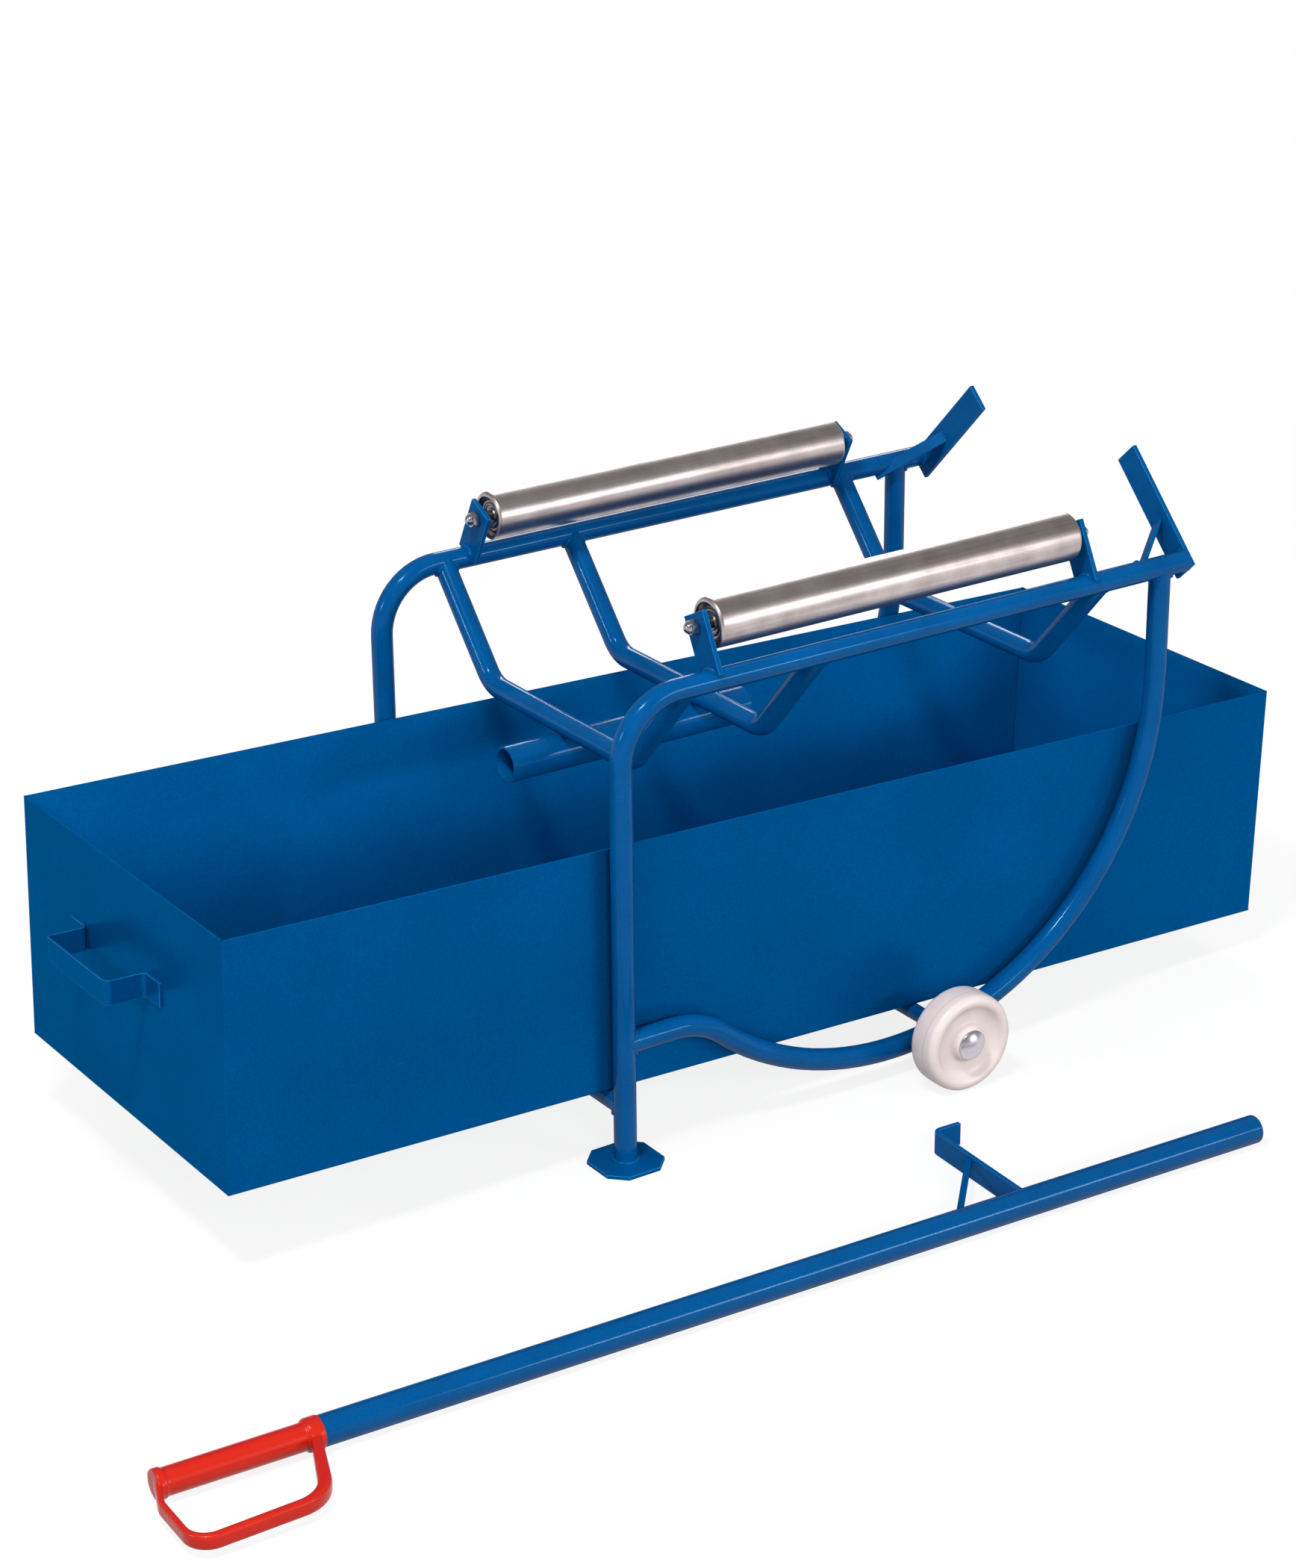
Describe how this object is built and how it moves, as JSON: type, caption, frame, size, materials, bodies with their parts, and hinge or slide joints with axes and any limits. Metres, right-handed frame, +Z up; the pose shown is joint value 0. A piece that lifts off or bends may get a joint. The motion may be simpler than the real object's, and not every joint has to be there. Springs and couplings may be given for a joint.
{
  "type": "drum tipper",
  "caption": "Bent-tube drum tipper on rockers and wheels, with rollers that carry a lying drum, a long open collecting tray under it and a loose tipping lever with hook and D grip.",
  "frame": {"origin": "on the floor, under the middle of the bounding box of frame, tray and lever", "axes": "+X along the drum's axis from its mouth to its base (towards the toes), +Y to the left side seen from the front, +Z up"},
  "size_m": [1.8426, 1.067, 0.6949],
  "materials": {
    "frame_paint": "semi-gloss blue powder coat",
    "tray_paint": "semi-gloss blue powder coat on sheet",
    "lever_paint": "semi-gloss blue powder coat",
    "zinc_steel": "zinc-plated, drawn",
    "bearing_steel": "plain turned steel",
    "bright_steel": "bright zinc",
    "nylon": "satin moulded nylon",
    "red_plastic": "glossy moulded plastic"
  },
  "bodies": {
    "frame": {"front_cross_tube": "frame_paint", "middle_cross_tube": "frame_paint", "rear_cross_tube": "frame_paint", "lower_cross_tube": "frame_paint", "lever_socket": "frame_paint", "wheel_axle": "frame_paint", "roller_cap_nuts": "bright_steel", "roller_lock_nuts": "bright_steel", "right_leg_rail": "frame_paint", "right_rocker": "frame_paint", "right_foot_plate": "frame_paint", "right_wheel_spacer": "frame_paint", "right_wheel_cap": "bright_steel", "right_front_bracket": "frame_paint", "right_rear_bracket": "frame_paint", "right_roller_axle": "bearing_steel", "right_toe": "frame_paint", "right_toe_brace": "frame_paint", "left_leg_rail": "frame_paint", "left_rocker": "frame_paint", "left_foot_plate": "frame_paint", "left_wheel_spacer": "frame_paint", "left_wheel_cap": "bright_steel", "left_front_bracket": "frame_paint", "left_rear_bracket": "frame_paint", "left_roller_axle": "bearing_steel", "left_toe": "frame_paint", "left_toe_brace": "frame_paint"},
    "right_wheel_body": {"right_wheel": "nylon"},
    "left_wheel_body": {"left_wheel": "nylon"},
    "right_roller_body": {"right_roller_tube": "zinc_steel", "right_roller_end_cups": "zinc_steel", "right_roller_bearings": "bearing_steel"},
    "left_roller_body": {"left_roller_tube": "zinc_steel", "left_roller_end_cups": "zinc_steel", "left_roller_bearings": "bearing_steel"},
    "tray": {"tray_pan": "tray_paint", "tray_front_handle": "tray_paint", "tray_rear_handle": "tray_paint"},
    "lever": {"lever_tube": "lever_paint", "lever_end_plug": "lever_paint", "lever_hook": "lever_paint", "lever_hook_brace": "lever_paint", "lever_grip": "red_plastic"}
  },
  "joints": [
    {"name": "right_wheel_spin", "type": "hinge", "parent": "frame", "child": "right_wheel_body", "pos_m": [0.31181, -0.16204, 0.0625], "axis": [0, 1, 0], "continuous": true},
    {"name": "left_wheel_spin", "type": "hinge", "parent": "frame", "child": "left_wheel_body", "pos_m": [0.31181, 0.50206, 0.0625], "axis": [0, 1, 0], "continuous": true},
    {"name": "right_roller_spin", "type": "hinge", "parent": "frame", "child": "right_roller_body", "pos_m": [0.27231, -0.06504, 0.631], "axis": [1, 0, 0], "continuous": true},
    {"name": "left_roller_spin", "type": "hinge", "parent": "frame", "child": "left_roller_body", "pos_m": [0.27231, 0.40506, 0.631], "axis": [1, 0, 0], "continuous": true},
    {"name": "tray_pull", "type": "slide", "parent": "frame", "child": "tray", "axis": [-0.9994, 0, 0.035], "range_m": [0, 0.8]},
    {"name": "lever_lift", "type": "slide", "parent": "frame", "child": "lever", "axis": [0, 0, 1], "range_m": [0, 0.3]}
  ]
}
